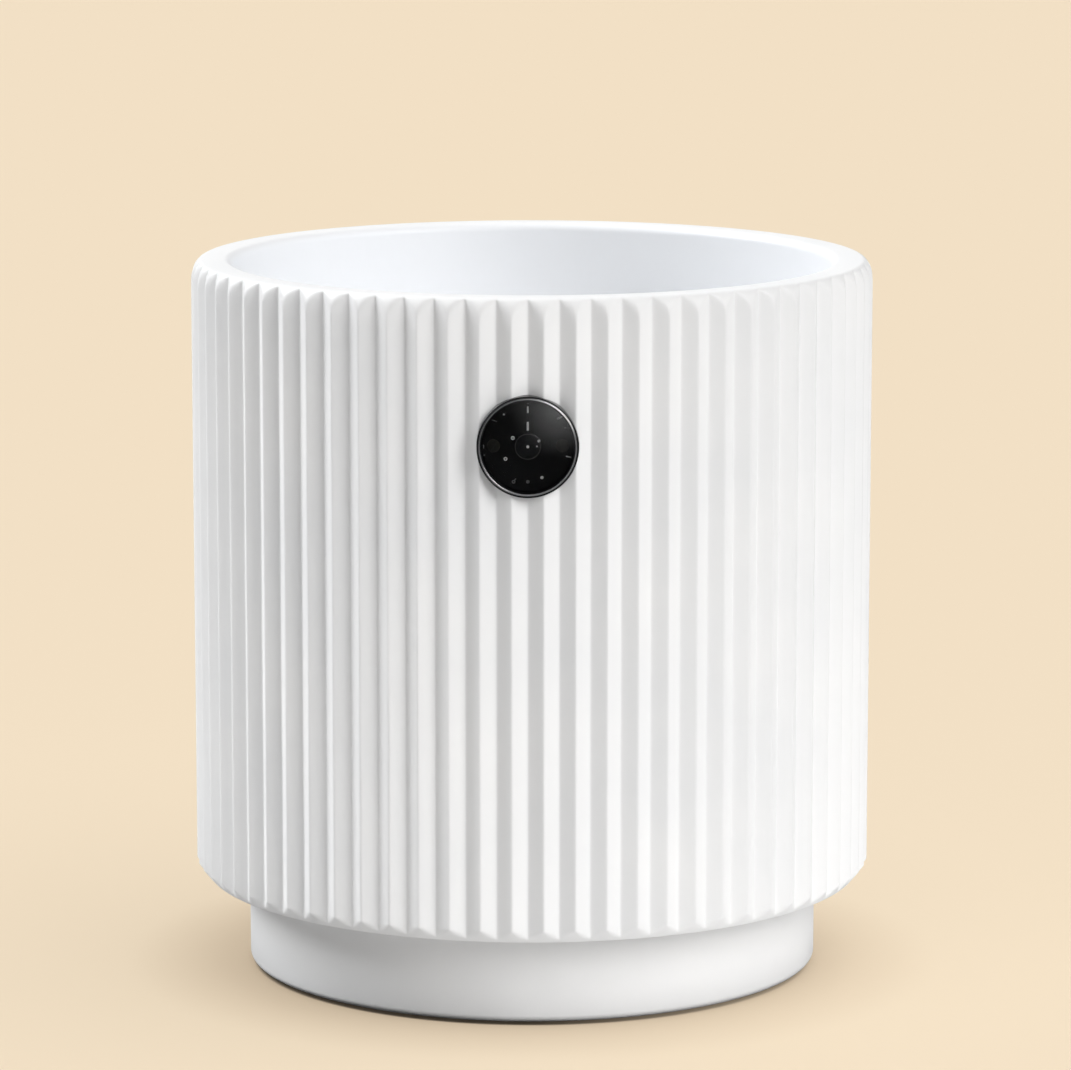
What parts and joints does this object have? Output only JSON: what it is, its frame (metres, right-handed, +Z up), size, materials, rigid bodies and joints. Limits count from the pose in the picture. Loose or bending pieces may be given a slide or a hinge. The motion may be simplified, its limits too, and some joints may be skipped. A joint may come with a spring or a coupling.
{
  "type": "ceramic planter",
  "caption": "Fluted ceramic cylinder planter with a drain hole, standing in a recessed drip saucer, with a round dial soil gauge through the front wall.",
  "frame": {"origin": "middle of the resting face, on the pot's axis", "axes": "+Z up along the pot's axis, -Y to the front where the gauge is, +X to the right as seen from the front"},
  "size_m": [0.2, 0.2009, 0.2102],
  "materials": {
    "pot_ceramic": "satin white glaze",
    "saucer_ceramic": "satin white glaze",
    "pad_rubber": "matte",
    "screen_plastic": "matte",
    "case_black": "satin black",
    "ring_silver": "polished",
    "lens_clear": "clear",
    "gauge_rubber": "matte",
    "dial_black": "gloss black with a printed scale",
    "screw_black": "blackened",
    "pointer_white": "matte white",
    "hub_black": "gloss",
    "gauge_steel": "brushed",
    "bush_brass": "turned",
    "bimetal": "rolled strip"
  },
  "bodies": {
    "saucer": {"drip_saucer": "saucer_ceramic", "base_pad": "pad_rubber"},
    "pot": {"fluted_pot": "pot_ceramic", "drain_screen": "screen_plastic", "gauge_case": "case_black", "lens_ring": "ring_silver", "gauge_lens": "lens_clear", "lens_seal": "gauge_rubber", "dial_plate": "dial_black", "dial_screws": "screw_black", "front_bush": "bush_brass", "rear_bush": "bush_brass", "bimetal_helix": "bimetal", "stem_tube": "gauge_steel", "stem_tip": "gauge_steel", "wall_gasket": "gauge_rubber", "inner_gasket": "gauge_rubber", "nut_washer": "gauge_steel", "lock_nut": "gauge_steel"},
    "needle": {"pointer": "pointer_white", "pointer_hub": "hub_black", "spindle": "gauge_steel"}
  },
  "joints": [
    {"name": "pot_lift", "type": "slide", "parent": "saucer", "child": "pot", "axis": [0, 0, 1], "range_m": [0, 0.06]},
    {"name": "needle_turn", "type": "hinge", "parent": "pot", "child": "needle", "pos_m": [0, -0.1, 0.1692], "axis": [0, 1, 0], "range_deg": [-100, 100], "stiffness_Nm_per_rad": 0.00001}
  ]
}
